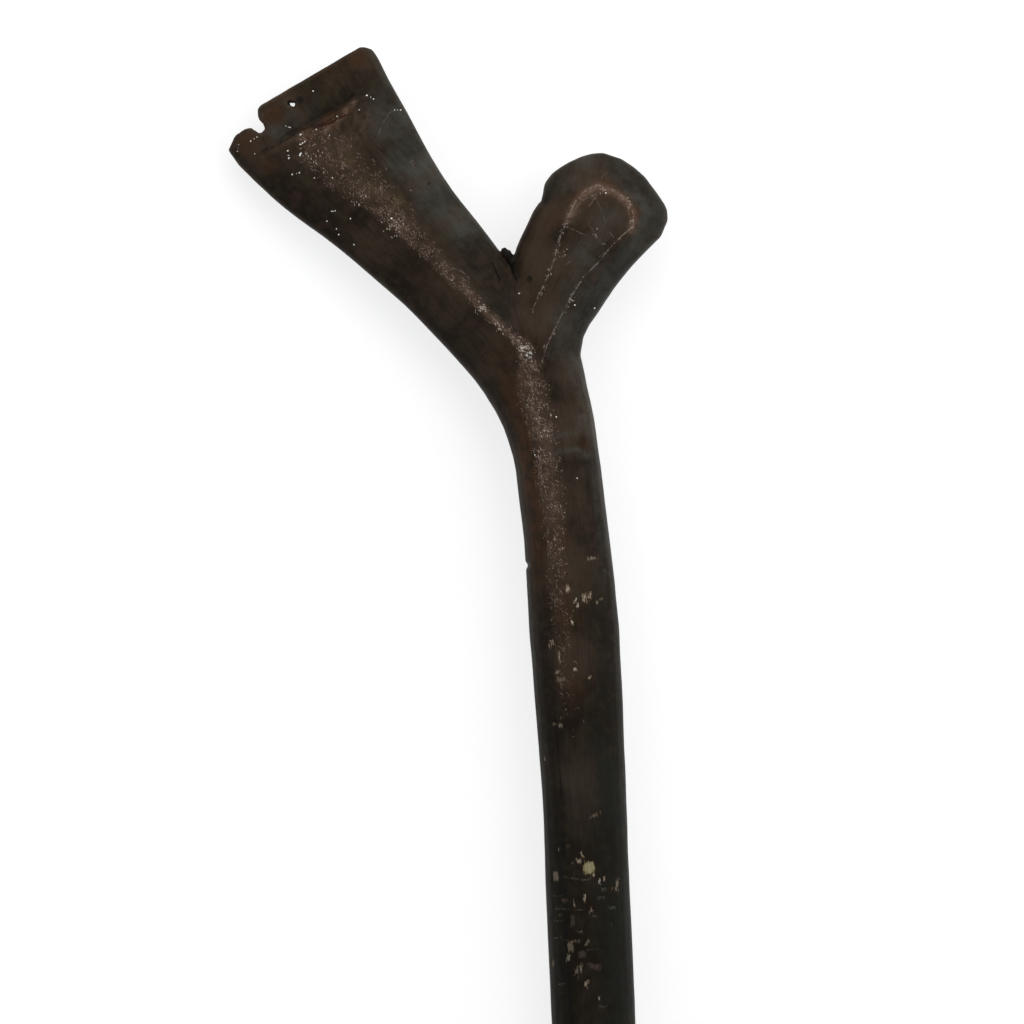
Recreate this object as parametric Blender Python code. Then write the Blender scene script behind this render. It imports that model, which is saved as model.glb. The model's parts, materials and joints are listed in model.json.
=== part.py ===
"""Spurred wooden club, carved from one piece of dark hardwood.

A nearly straight round shaft runs up to a neck, where the club forks.  To the left it sweeps into a long flared
blade with a raised median ridge, which stops at a step short of the thin striking lip.  To the right a short spur
ends in a rounded paddle that carries a raised, tongue-shaped flat.  Both faces are carved alike.  The lip has an
old broken notch and a small hole.

The club is drawn in its own frame: X across, Y along the shaft from the butt (y = 0) to the head, Z through the
thickness with z = 0 in the middle.  It is then rolled a little and set down, so that it lies on a table as it
would by itself, on its shaft and the underside of the blade.
"""

import math
from typing import NamedTuple

import bmesh
import bpy
import numpy as np

MM = 0.001

# ------------------------------------------------------------------------------------------------------------
# Driving dimensions (millimetres, except where a name says otherwise)
# ------------------------------------------------------------------------------------------------------------

LYING_ROLL_DEG = 3.6        # roll about the shaft at which shaft and blade both touch the table
SHAFT_RING_STEP = 30.0      # longest distance between two rings of the loft, along the shaft
HEAD_RING_STEP = 8.0        # the same, in the head
CORNER_POINTS = 3           # points that round each corner of a section
CORNER_SHARE = 0.45         # most of an edge that the rounding of one of its corners may take

LIP_HOLE_AT = (-137.8, 1022.3)
LIP_HOLE_DIAMETER = 3.0
LIP_HOLE_SIDES = 10
CUT_HALF_DEPTH = 30.0       # half the height of the cutters, more than the blade is thick

# Carved all over and then handled: large roundings.  Order: rim, shoulder, crest, crest, bevel, rim.
LIMB_ROUNDING = (12.0, 14.0, 9.0, 16.0, 9.0, 8.0)
SPUR_ROUNDING = (6.0, 12.0, 1.6, 1.6, 12.0, 6.0)

ROUND_ACROSS = (0.134, 0.366, 0.634, 0.866)
ROUND_FLANK = (0.73, 0.73)


class Station(NamedTuple):
    """One section of a limb, seen along the limb: it stands on the line from its left to its right edge point.

    crest is the half thickness at the crest, and rim the half height of the blunt edge.  across gives where the
    left shoulder, the left and right ends of the crest, and the right bevel lie, as shares of the width.  flank
    gives the heights of the left shoulder and the right bevel, as shares of the crest.
    """

    left: tuple
    right: tuple
    crest: float
    rim: float
    across: tuple = ROUND_ACROSS
    flank: tuple = ROUND_FLANK


def shaft_station(along, left, right, crest, across=ROUND_ACROSS, flank=ROUND_FLANK):
    """A section square to the shaft, whose rim is rounded as on an ellipse."""
    return Station((left, along), (right, along), crest, 0.268 * crest, across, flank)


# The shaft, from the butt up to the neck, and the blade out to its lip.
SHAFT_AND_BLADE = [
    shaft_station(0.0, -20.0, 20.0, 20.6),
    shaft_station(3.0, -21.4, 21.4, 22.0),
    shaft_station(26.0, -20.6, 20.6, 21.0),
    shaft_station(62.0, -19.2, 19.2, 19.2),
    shaft_station(110.0, -18.4, 18.4, 18.0),
    shaft_station(220.0, -18.6, 18.6, 18.0),
    shaft_station(380.0, -20.3, 20.3, 19.6),
    shaft_station(520.0, -22.0, 22.4, 20.8),
    shaft_station(640.0, -21.3, 23.4, 21.4, (0.13, 0.36, 0.60, 0.88), (0.72, 0.72)),
    shaft_station(730.0, -23.7, 24.2, 21.8, (0.12, 0.33, 0.56, 0.90), (0.72, 0.71)),
    shaft_station(780.0, -24.4, 21.6, 21.8, (0.12, 0.30, 0.52, 0.92), (0.72, 0.70)),
    shaft_station(818.0, -26.6, 18.9, 21.6, (0.12, 0.28, 0.48, 0.93), (0.70, 0.70)),
    Station((-32.0, 842.0), (16.6, 844.0), 21.4, 5.6, (0.12, 0.30, 0.47, 0.93), (0.68, 0.72)),
    Station((-41.0, 860.7), (13.4, 862.0), 21.2, 5.6, (0.12, 0.37, 0.51, 0.92), (0.64, 0.74)),
    Station((-51.8, 875.5), (11.1, 877.0), 20.8, 5.8, (0.12, 0.42, 0.55, 0.89), (0.60, 0.77)),
    Station((-66.0, 892.7), (-3.0, 896.0), 20.2, 5.8, (0.12, 0.46, 0.57, 0.87), (0.58, 0.74)),
    Station((-82.4, 911.3), (-15.0, 917.0), 19.2, 5.8, (0.12, 0.45, 0.55, 0.88), (0.56, 0.66)),
    Station((-93.0, 921.5), (-26.3, 931.5), 18.4, 5.8, (0.12, 0.43, 0.53, 0.90), (0.58, 0.60)),
    Station((-108.0, 935.8), (-40.3, 952.4), 17.0, 5.8, (0.12, 0.40, 0.53, 0.86), (0.60, 0.64)),
    Station((-121.6, 947.9), (-53.4, 970.4), 15.8, 5.7, (0.12, 0.36, 0.54, 0.82), (0.62, 0.70)),
    Station((-137.0, 960.3), (-64.6, 991.0), 14.5, 5.6, (0.12, 0.33, 0.57, 0.82), (0.64, 0.72)),
    Station((-152.0, 973.8), (-75.2, 1013.0), 13.2, 5.4, (0.12, 0.32, 0.65, 0.88), (0.66, 0.68)),
    Station((-166.0, 988.8), (-84.2, 1030.6), 12.0, 5.0, (0.12, 0.31, 0.79, 0.92), (0.66, 0.62)),
    # the step down to the lip, and the lip
    Station((-168.6, 991.8), (-85.6, 1033.6), 7.2, 4.8, (0.12, 0.31, 0.79, 0.92), (0.90, 0.90)),
    Station((-173.6, 999.4), (-89.4, 1042.2), 6.5, 4.6, (0.12, 0.31, 0.79, 0.92), (0.94, 0.94)),
    Station((-170.0, 1006.4), (-91.6, 1046.6), 6.1, 4.0, (0.12, 0.31, 0.79, 0.92), (0.94, 0.94)),
    Station((-161.0, 1014.6), (-93.8, 1049.6), 5.4, 3.2, (0.12, 0.31, 0.79, 0.92), (0.94, 0.94)),
    Station((-155.6, 1022.2), (-98.8, 1051.3), 3.6, 2.0, (0.12, 0.31, 0.79, 0.92), (0.94, 0.94)),
]
HEAD_STARTS_AT = 11         # index of the first station above the plain shaft

# The spur, from inside the neck out to its round end.  Its crest is the flat tongue.
SPUR = [
    Station((-22.0, 856.0), (9.0, 846.5), 16.4, 5.0, (0.20, 0.34, 0.46, 0.80), (0.80, 0.80)),
    Station((-24.0, 888.9), (10.2, 873.0), 19.2, 5.6, (0.14, 0.24, 0.50, 0.78), (0.76, 0.66)),
    Station((-24.5, 910.5), (12.6, 888.8), 18.9, 6.0, (0.22, 0.41, 0.75, 0.88), (0.62, 0.66)),
    Station((-23.4, 927.0), (21.5, 901.7), 18.5, 6.0, (0.24, 0.44, 0.80, 0.91), (0.60, 0.64)),
    Station((-20.2, 938.4), (30.8, 914.2), 18.0, 6.0, (0.23, 0.43, 0.82, 0.92), (0.60, 0.64)),
    Station((-14.9, 948.7), (40.6, 925.0), 17.4, 6.0, (0.20, 0.385, 0.82, 0.92), (0.60, 0.62)),
    Station((-10.2, 957.4), (50.8, 934.8), 16.8, 6.0, (0.18, 0.337, 0.80, 0.91), (0.60, 0.62)),
    Station((-5.2, 964.2), (57.4, 941.0), 16.2, 6.0, (0.16, 0.31, 0.82, 0.92), (0.60, 0.62)),
    Station((-3.0, 972.4), (61.4, 949.4), 15.6, 6.0, (0.17, 0.32, 0.79, 0.90), (0.60, 0.60)),
    Station((0.8, 977.2), (61.2, 955.0), 15.2, 5.8, (0.20, 0.38, 0.72, 0.86), (0.60, 0.60)),
    Station((3.8, 979.2), (60.2, 957.6), 14.9, 5.7, (0.24, 0.43, 0.63, 0.82), (0.62, 0.62)),
    Station((6.6, 980.8), (58.8, 960.2), 13.6, 5.6, (0.26, 0.46, 0.59, 0.80), (0.68, 0.68)),
    Station((11.0, 983.0), (56.4, 964.4), 11.4, 5.4, (0.22, 0.42, 0.61, 0.82), (0.74, 0.74)),
    Station((17.6, 985.6), (51.0, 972.4), 8.8, 4.8, (0.18, 0.38, 0.65, 0.84), (0.80, 0.80)),
    Station((22.6, 986.8), (44.8, 978.4), 6.8, 3.8, (0.16, 0.37, 0.66, 0.85), (0.84, 0.84)),
    Station((28.4, 987.2), (38.6, 983.2), 4.0, 2.0, (0.14, 0.37, 0.64, 0.86), (0.86, 0.86)),
]

# The break in the lip: its ragged inner edge, then out past the blade's outline and back.
NOTCH = [
    (-160.8, 1010.6), (-157.6, 1007.8), (-154.6, 1007.4), (-152.7, 1009.4), (-153.1, 1012.2), (-155.8, 1015.0),
    (-156.6, 1019.4), (-155.8, 1023.0), (-160.0, 1032.0), (-180.0, 1020.0), (-170.0, 1007.0), (-164.7, 1009.4),
]


# ------------------------------------------------------------------------------------------------------------
# Sections and lofts
# ------------------------------------------------------------------------------------------------------------

def section_nodes(station):
    """The corners of a section in turn, over the top from left to right and back underneath, in millimetres."""
    left = np.array((*station.left, 0.0))
    right = np.array((*station.right, 0.0))
    shares = (0.0, *station.across, 1.0)
    shoulder, bevel = (share * station.crest for share in station.flank)
    heights = (station.rim, shoulder, station.crest, station.crest, bevel, station.rim)
    up = np.array((0.0, 0.0, 1.0))
    top = [left + share * (right - left) + height * up for share, height in zip(shares, heights)]
    bottom = [left + share * (right - left) - height * up for share, height in zip(shares, heights)]
    return np.array(top + bottom[::-1])


def monotone_slopes(knots, values):
    """Tangents for a cubic through the values that never overshoots them (Fritsch and Carlson)."""
    gaps = np.diff(knots)[:, None]
    rises = np.diff(values, axis=0) / gaps
    slopes = np.zeros_like(values)
    slopes[0], slopes[-1] = rises[0], rises[-1]
    before, after = rises[:-1], rises[1:]
    weight_before = 2.0 * gaps[1:] + gaps[:-1]
    weight_after = gaps[1:] + 2.0 * gaps[:-1]
    same_way = before * after > 0.0
    safe_before = np.where(same_way, before, 1.0)
    safe_after = np.where(same_way, after, 1.0)
    mean = (weight_before + weight_after) / (weight_before / safe_before + weight_after / safe_after)
    slopes[1:-1] = np.where(same_way, mean, 0.0)
    return slopes


def smooth_rows(rows, steps):
    """Rows between the given rows, on a smooth curve through them; steps says how many for each gap."""
    middles = rows.reshape(len(rows), -1, 3).mean(axis=1)
    knots = np.concatenate(([0.0], np.cumsum(np.linalg.norm(np.diff(middles, axis=0), axis=1))))
    slopes = monotone_slopes(knots, rows)
    filled = []
    for i, count in enumerate(steps):
        gap = knots[i + 1] - knots[i]
        for t in np.arange(count) / count:
            filled.append(
                (1 + 2 * t) * (1 - t) ** 2 * rows[i]
                + t * (1 - t) ** 2 * gap * slopes[i]
                + t * t * (3 - 2 * t) * rows[i + 1]
                + t * t * (t - 1) * gap * slopes[i + 1]
            )
    filled.append(rows[-1])
    return filled


def rounded_ring(nodes, rounding):
    """The section's outline with each corner rounded by a short parabola."""
    radii = (*rounding, *rounding[::-1])
    ring = []
    for i, node in enumerate(nodes):
        to_last = nodes[i - 1] - node
        to_next = nodes[(i + 1) % len(nodes)] - node
        start = node + to_last * min(CORNER_SHARE, radii[i] / np.linalg.norm(to_last))
        end = node + to_next * min(CORNER_SHARE, radii[i] / np.linalg.norm(to_next))
        for t in np.linspace(0.0, 1.0, CORNER_POINTS):
            ring.append((1 - t) ** 2 * start + 2 * t * (1 - t) * node + t * t * end)
    return ring


def loft(name, stations, rounding, steps):
    """A closed mesh object through the stations, with a flat cap at each end."""
    rows = np.array([section_nodes(station).ravel() for station in stations])
    mesh_data = bmesh.new()
    rings = []
    for row in smooth_rows(rows, steps):
        ring = rounded_ring(row.reshape(-1, 3), rounding)
        rings.append([mesh_data.verts.new(point * MM) for point in ring])
    for ring, following in zip(rings, rings[1:]):
        for i in range(len(ring)):
            j = (i + 1) % len(ring)
            mesh_data.faces.new((ring[i], ring[j], following[j], following[i]))
    mesh_data.faces.new(rings[0])
    mesh_data.faces.new(rings[-1])
    bmesh.ops.recalc_face_normals(mesh_data, faces=mesh_data.faces)
    return object_from(name, mesh_data)


def ring_counts(stations, plain_until):
    """How many loft steps each gap between stations gets, coarser below the station plain_until."""
    counts = []
    for i, (here, following) in enumerate(zip(stations, stations[1:])):
        middle = (np.add(here.left, here.right)) / 2
        next_middle = (np.add(following.left, following.right)) / 2
        step = SHAFT_RING_STEP if i < plain_until else HEAD_RING_STEP
        counts.append(max(1, round(np.linalg.norm(next_middle - middle) / step)))
    return counts


# ------------------------------------------------------------------------------------------------------------
# Objects
# ------------------------------------------------------------------------------------------------------------

def object_from(name, mesh_data):
    mesh = bpy.data.meshes.new(name)
    mesh_data.to_mesh(mesh)
    mesh_data.free()
    return bpy.data.objects.new(name, mesh)


def notch_cutter():
    """A prism on the outline of the break, taller than the lip is thick."""
    mesh_data = bmesh.new()
    floor = [mesh_data.verts.new((x * MM, y * MM, -CUT_HALF_DEPTH * MM)) for x, y in NOTCH]
    face = mesh_data.faces.new(floor)
    walls = bmesh.ops.extrude_face_region(mesh_data, geom=[face])
    raised = [item for item in walls["geom"] if isinstance(item, bmesh.types.BMVert)]
    bmesh.ops.translate(mesh_data, verts=raised, vec=(0.0, 0.0, 2 * CUT_HALF_DEPTH * MM))
    bmesh.ops.recalc_face_normals(mesh_data, faces=mesh_data.faces)
    return object_from("lip_notch_cutter", mesh_data)


def hole_cutter():
    mesh_data = bmesh.new()
    radius = LIP_HOLE_DIAMETER / 2 * MM
    bmesh.ops.create_cone(
        mesh_data, cap_ends=True, segments=LIP_HOLE_SIDES, radius1=radius, radius2=radius,
        depth=2 * CUT_HALF_DEPTH * MM,
    )
    bmesh.ops.translate(mesh_data, verts=mesh_data.verts, vec=(LIP_HOLE_AT[0] * MM, LIP_HOLE_AT[1] * MM, 0.0))
    return object_from("lip_hole_cutter", mesh_data)


def hardwood():
    """Dark brown hardwood with a worn, hand-rubbed surface."""
    material = bpy.data.materials.new("dark_hardwood")
    material.use_nodes = True
    shader = material.node_tree.nodes["Principled BSDF"]
    shader.inputs["Base Color"].default_value = (0.050, 0.030, 0.020, 1.0)
    shader.inputs["Metallic"].default_value = 0.0
    shader.inputs["Roughness"].default_value = 0.45
    return material


def combine(target, tool, operation):
    """Join a tool to the target, or cut it out, with a Boolean that stays on the target."""
    tool.parent = target
    tool.display_type = "WIRE"
    tool.hide_render = True
    modifier = target.modifiers.new(tool.name, "BOOLEAN")
    modifier.operation = operation
    modifier.solver = "EXACT"
    modifier.object = tool


def lay_down(club):
    """Roll the club to its lying pose, and put the middle of its box at x = y = 0 with its lowest point at z = 0."""
    club.rotation_euler.y = -math.radians(LYING_ROLL_DEG)
    bpy.context.view_layer.update()
    evaluated = club.evaluated_get(bpy.context.evaluated_depsgraph_get())
    mesh = evaluated.to_mesh()
    points = np.array([club.matrix_world @ vertex.co for vertex in mesh.vertices])
    evaluated.to_mesh_clear()
    low, high = points.min(axis=0), points.max(axis=0)
    club.location = (-(low[0] + high[0]) / 2, -(low[1] + high[1]) / 2, -low[2])


def main():
    for old in list(bpy.data.objects):
        bpy.data.objects.remove(old, do_unlink=True)
    parts = bpy.data.collections.new("spurred_club")
    cutters = bpy.data.collections.new("cutters")
    for collection in (parts, cutters):
        bpy.context.scene.collection.children.link(collection)

    club = loft("club", SHAFT_AND_BLADE, LIMB_ROUNDING, ring_counts(SHAFT_AND_BLADE, HEAD_STARTS_AT))
    spur = loft("spur_body", SPUR, SPUR_ROUNDING, ring_counts(SPUR, 0))
    notch = notch_cutter()
    hole = hole_cutter()
    parts.objects.link(club)
    for tool in (spur, notch, hole):
        cutters.objects.link(tool)
    club.data.materials.append(hardwood())
    combine(club, spur, "UNION")
    combine(club, notch, "DIFFERENCE")
    combine(club, hole, "DIFFERENCE")
    lay_down(club)


main()
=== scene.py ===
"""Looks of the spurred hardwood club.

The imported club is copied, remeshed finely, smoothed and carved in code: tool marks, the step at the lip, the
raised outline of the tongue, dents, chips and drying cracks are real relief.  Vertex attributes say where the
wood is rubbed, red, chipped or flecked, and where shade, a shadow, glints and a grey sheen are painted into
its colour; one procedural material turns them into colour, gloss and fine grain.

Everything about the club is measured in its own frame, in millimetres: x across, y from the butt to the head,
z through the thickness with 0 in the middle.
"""

import json
import math
from typing import NamedTuple

import bmesh
import bpy
import numpy as np
from mathutils import Matrix, Vector


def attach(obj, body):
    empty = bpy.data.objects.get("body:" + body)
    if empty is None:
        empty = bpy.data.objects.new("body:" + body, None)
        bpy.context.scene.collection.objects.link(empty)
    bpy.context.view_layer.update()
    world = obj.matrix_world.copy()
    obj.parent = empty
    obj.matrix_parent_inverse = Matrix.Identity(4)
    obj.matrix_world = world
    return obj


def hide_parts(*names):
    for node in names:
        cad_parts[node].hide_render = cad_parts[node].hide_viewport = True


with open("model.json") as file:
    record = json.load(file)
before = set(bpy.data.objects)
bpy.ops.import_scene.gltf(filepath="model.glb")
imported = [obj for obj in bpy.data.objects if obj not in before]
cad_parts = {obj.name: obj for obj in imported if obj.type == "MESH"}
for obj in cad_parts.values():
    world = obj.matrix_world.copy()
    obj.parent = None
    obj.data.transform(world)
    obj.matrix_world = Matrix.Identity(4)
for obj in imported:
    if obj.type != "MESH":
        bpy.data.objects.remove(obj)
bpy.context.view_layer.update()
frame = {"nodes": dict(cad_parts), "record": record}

MM = 0.001

# ---- The club's own frame ----

LYING_ROLL = math.radians(3.6)      # the club lies rolled by this about its shaft
BUTT_CENTRE = np.array(frame["record"]["mounts"][0]["pos_m"])
ROLL = np.array([
    (math.cos(LYING_ROLL), 0.0, -math.sin(LYING_ROLL)),
    (0.0, 1.0, 0.0),
    (math.sin(LYING_ROLL), 0.0, math.cos(LYING_ROLL)),
])


def to_club(points):
    """Scene metres to the club's own millimetres."""
    return (points - BUTT_CENTRE) @ ROLL / MM


def to_scene(points):
    """The club's own millimetres to scene metres."""
    return points @ ROLL.T * MM + BUTT_CENTRE


# ---- Lines and marks on the club (its own millimetres) ----

VOXEL = 1.0                 # edge of a face of the fine mesh
SKIN_GAIN = 0.35            # added all over, to make up for what remeshing and smoothing take away

# Middle lines that the grain follows: up the shaft and out through the blade, and out through the spur.
MAIN_LINE = [
    (0, -10), (0, 220), (0, 520), (1, 640), (0, 740), (-2, 790), (-5, 825), (-9, 850), (-15, 867),
    (-25, 884), (-40, 903), (-57, 923), (-74, 943), (-92, 964), (-111, 989), (-126, 1012), (-140, 1036),
]
SPUR_LINE = [
    (-8, 840), (-7, 880), (-6, 900), (-1, 914), (6, 927), (14, 938), (21, 947), (27, 957), (33, 988),
]


class CrestPoint(NamedTuple):
    """A point on the crest: its place, how far the rubbed band reaches to each side, and how worn it is."""

    at: tuple
    left: float
    right: float
    worn: float


CREST = [CrestPoint((x, y), *rest) for x, y, *rest in (
    (0, -10, 9, 9, 0), (-3, 670, 7, 9, 0), (-5, 700, 5, 8, 0.14), (-7, 750, 5.5, 8, 0.24),
    (-8, 800, 7, 10, 0.6), (-11, 836, 7, 9, 0.95), (-16, 862, 8.5, 10, 0.8), (-17.5, 883, 4, 6.5, 1),
    (-24, 890, 2, 3.5, 0.8), (-36, 902, 2.1, 4.2, 1), (-50, 917, 2.2, 5, 0.78), (-66, 934, 3, 8, 0.5),
    (-84.5, 954.5, 4.5, 13, 0.72), (-102, 970, 5, 20, 0.58), (-116, 979, 7, 24, 0.35),
    (-128, 995, 9, 25, 0.28),
)]

# The foot of the step down to the lip, along which a shadow is painted, and the rubbed shoulder just
# short of it, lighter from wear and from a painted highlight.
STEP_FOOT = [
    (-160, 995.5), (-148, 1000), (-142, 1003), (-135, 1007.5), (-128, 1009), (-119, 1011), (-113.5, 1014.5),
    (-110, 1019), (-105, 1025), (-101, 1029.5),
]
SHOULDER = [(-134, 1002.5), (-128, 1004.5), (-120, 1006.5), (-112, 1011.5), (-104, 1021.5)]

# The right edge of the red-brown strip beside the crest, on the neck.
RED_STRIP = [
    (-32, 883), (-28, 875), (-22.5, 861), (-17.7, 845), (-16, 825), (-14.8, 807), (-13, 795), (-13.5, 772),
    (-12.5, 757), (-12.5, 737), (-13, 722),
]

# The outline of the tongue on the spur.
TONGUE_LEFT = [(-19, 886), (-13, 903.7), (-9, 911), (-4, 920), (1, 932), (4.5, 943), (9, 953), (14, 962)]
TONGUE_END = [
    (9, 953), (14, 962), (19.5, 967), (26, 969.5), (34, 966.5), (41, 961), (44.5, 953), (43, 945.5),
]
TONGUE_RIGHT = [
    (43, 945.5), (37, 941), (30, 934.5), (24, 927.5), (16, 920.5), (8, 909), (1.5, 897.5), (-5, 886),
]


class Mark(NamedTuple):
    """A soft round mark on one face (1 upper, -1 under, 0 both): place, radius and amount."""

    at: tuple
    radius: float
    amount: float
    face: int = 1


def marks(*rows):
    """Marks from rows of x, y, radius and amount, with the face too where it isn't the upper one."""
    return [Mark((x, y), *rest) for x, y, *rest in rows]


RED_MARKS = marks(
    (-147, 1017, 8, 0.9), (-163, 1002, 9, 0.9), (-101, 1045, 8, 0.9), (-118, 1040, 6, 0.5),
    (-152, 991, 8, 0.5), (-130, 1004, 9, 0.7), (-117, 1012, 8, 1), (-109, 1017, 6, 0.8), (12, 831, 6, 0.5),
    (-22, 866, 10, 0.4), (-30, 880, 9, 0.3), (30, 968, 9, 0.7), (45, 953, 5, 1.2), (14, 962, 8, 0.6),
    (2, 952, 8, 0.4), (-6, 780, 12, 0.6), (-2, 740, 14, 0.4), (0, 700, 16, 0.3),
)

# Where the skin is lighter (plus) or darker (minus); the minus marks on the lip beside the foot of the step
# are a painted shadow.
TONES = marks(
    (-98, 985, 34, 0.18), (-118, 996, 16, 0.15), (-70, 948, 20, 0.1), (10, 925, 26, 0.3),
    (28, 955, 24, 0.45), (-4, 895, 20, 0.3), (-6, 800, 26, 0.25), (2, 760, 30, 0.36), (0, 715, 26, 0.5),
    (-8, 932, 18, 0.6), (6, 958, 14, 0.55), (-10, 905, 20, 0.4), (20, 975, 18, 0.42), (8, 842, 24, 0.45),
    (-36, 880, 26, 0.25), (-60, 912, 26, 0.25), (-98, 945, 24, 0.2), (-145, 1020, 24, 0.3),
    (-116, 1035, 24, 0.08), (-152, 997, 20, 0.25), (-15, 945, 14, 0.2), (-4, 952, 12, 0.5),
    (-12, 918, 10, 0.3), (0, 640, 30, 0.48), (0, 585, 28, 0.25), (0, 530, 28, 0.3), (0, 480, 30, 0.2),
    (0, 660, 26, 0.28), (2, 610, 22, 0.2), (0, 560, 22, 0.15), (-17, 580, 12, -0.25),
    (-15, 540, 14, -0.35), (-18, 745, 12, -0.35), (-18, 705, 14, -0.3), (-17, 640, 14, -0.3),
    (-18, 600, 12, -0.25), (12, 831, 6, -0.45), (6, 868, 16, 0.3), (-66, 982, 18, 0.5),
    (-50, 955, 16, 0.35), (-82, 1008, 16, 0.3), (46, 940, 14, 0.2), (-38, 872, 10, 0.1),
    (-28, 905, 9, -0.15), (-104, 958, 8, -0.3), (-123, 1014.5, 7, -0.35), (-115, 1020, 7, -0.4),
    (-108, 1026, 6, -0.4), (-163, 1003, 9, 0.3), (-98, 1043, 9, 0.25), (-19, 625, 8, -0.2),
)

# Where more grey sheen is painted than the way a flank faces gives.
GREY_MARKS = marks(
    (-82, 1012, 24, 1.1), (-74, 990, 22, 1.2), (-60, 968, 20, 1.2), (-46, 950, 16, 1),
    (-146, 1008, 8, 0.8), (-138, 1013, 8, 0.65), (-126, 1018, 8, 0.5), (-6, 975, 18, 0.9),
    (16, 988, 18, 0.9), (40, 980, 16, 0.8), (14, 914, 16, 0.8), (20, 932, 16, 0.8), (2, 898, 12, 0.7),
    (30, 950, 13, 0.6), (8, 972, 12, 0.5),
)

# Where the skin stays brown although its flank faces the way that gets the painted grey sheen.
BROWN_MARKS = marks((-26, 926, 26, 1), (-10, 902, 16, 0.8), (-44, 938, 14, 0.6))

# Yellowish patches on the blade.
OLIVE_MARKS = marks((-108.9, 991.6, 8, 0.9), (-82.3, 966, 8, 0.8), (-96, 976, 7, 0.5))

# Where painted glints and bare pale wood gather: on the crest and along the edges of the tongue.
GLINT_MARKS = marks(
    (-18.2, 883.6, 4.6, 1.15), (-15.4, 880.2, 4.6, 1.15), (-22, 889, 4, 0.35), (-40, 906, 5, 0.9),
    (-30, 896, 5, 0.55), (-85, 954, 8, 0.4), (-10, 845, 7, 0.3), (-12, 826, 6, 0.3), (-3, 797, 6, 0.35),
    (-127, 995, 9, 0.2), (-9, 838, 5, 0.35), (-103, 968, 8, 0.2), (-6, 778, 6, 0.2), (5.4, 945, 3, 0.5),
    (7, 948, 2.5, 0.4), (1.7, 933.6, 3, 0.5), (6.5, 934, 2.2, 0.3), (-3.2, 923, 3, 0.4),
    (-6, 914.5, 2.6, 0.3), (42.8, 959.6, 3, 0.6), (43.5, 948, 2.6, 0.5), (17.3, 922.3, 2.2, 0.4),
    (8.8, 908.6, 2.4, 0.4), (22.5, 944, 3, 0.3), (29, 966.5, 2.6, 0.4),
)

# Small hollows; a dent with face 0 is at an edge.
DENTS = marks(
    (-23.5, 767, 2.6, 1, 0), (-14, 921, 2, 0.8), (10.4, 848.5, 2.2, 0.5), (-4.5, 962, 3, 0.7, 0),
    (-65.5, 975.3, 1.8, 0.6, 0), (-73, 1003.5, 1.6, 0.4, 0), (20.5, 778, 4, 0.4), (-30, 921, 2.2, 0.5),
)


class Stroke(NamedTuple):
    """A thin line: its points, its width, and its extra: the share of painted glints by an edge, the redness
    of a crack.
    """

    points: tuple
    width: float
    extra: float = 0.0


# Pale scratches on the upper face.
SCRATCHES = [Stroke(*row) for row in (
    (((-91, 996.5), (-92, 1001), (-90, 1006), (-88, 1010), (-84.5, 1015), (-81, 1016)), 0.5),
    (((-114.5, 998.4), (-112.5, 1000.7), (-110.5, 1001)), 1.5),
    (((-113, 994.5), (-112, 991.5), (-110.8, 988)), 1), (((-75.6, 987), (-73.6, 988.2)), 0.5),
    (((-75.4, 985), (-73.2, 986.2)), 0.5), (((-75.2, 983), (-72.8, 984.2)), 0.5),
    (((13.5, 957.5), (17.5, 961.5), (22, 963.5), (26, 965.5)), 1.3),
    (((12, 953.5), (16.6, 955.9), (21.9, 959.5), (24.2, 963.3)), 0.7),
    (((24.2, 963.3), (27.8, 954.3), (29.5, 946.5), (33.1, 940.7)), 0.7),
    (((20.2, 948.7), (22.9, 943.1), (26.1, 938.4), (28.2, 937.3)), 1.6),
    (((10.3, 946.7), (14.5, 944.6), (18, 942.7)), 0.6),
    (((2.2, 936.6), (3.6, 931.6), (6.8, 932.5)), 0.9), (((4.7, 924.2), (7, 927.3), (9, 929)), 0.5),
    (((-60.2, 925.6), (-57, 928), (-53.4, 928.8), (-49.3, 926.7), (-46, 923.2), (-46.2, 919.4)), 0.7),
    (((-66, 933.5), (-60, 925.8), (-54.5, 922)), 0.8), (((28.3, 973.8), (30, 975.7), (31.5, 976.4)), 0.8),
    (((-10.5, 598.6), (-7, 598.1), (-2.5, 597.7)), 1.5), (((-1, 596.9), (2, 596.8), (4.2, 597.5)), 1.1),
    (((-6.2, 581), (-1.8, 580.9)), 0.8), (((-12.6, 581.6), (-9.8, 581.4)), 0.8),
    (((-17.4, 581.4), (-15, 581.5)), 0.8), (((1.5, 577.2), (6.2, 577)), 0.8),
    (((-1, 559), (4.8, 559.4)), 0.8), (((-17, 588.5), (-13.6, 588.6)), 0.7),
    (((-17.5, 575), (-13.8, 575.2)), 0.7), (((-18, 566), (-14.6, 566.2)), 0.7),
    (((-17, 541), (-13.6, 541.4)), 0.7), (((5, 528.7), (8.4, 528.5)), 0.7),
)]

# Faint wide bands, like the traces of something once stuck on.
SMEARS = [
    Stroke(((-6, 836), (4.7, 836.8), (9, 838), (10.5, 846)), 1.8),
    Stroke(((-6, 826.5), (2, 828), (8, 828), (13, 824)), 1.8),
]

# Small dark stains on the upper face.
STAINS = marks(
    (-133.2, 1024.2, 4, 0.75), (10.4, 848.5, 4, 0.45), (13.5, 782, 3, 0.5), (-14, 921, 3.5, 0.7),
    (-15.5, 575, 3, 0.4), (-16, 560, 3, 0.4), (-16.5, 549, 3, 0.4), (-15.5, 538, 3, 0.4),
)

# The edges of the tongue: a pale line of worn wood and painted highlight, and painted glints as many as each
# one's extra.
ARRISES = [
    Stroke(tuple(TONGUE_LEFT[1:]), 0.7, 0.9), Stroke(tuple(TONGUE_END), 0.5, 0.4),
    Stroke((*TONGUE_RIGHT, (-8.8, 876)), 0.7, 0.35),
]

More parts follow.
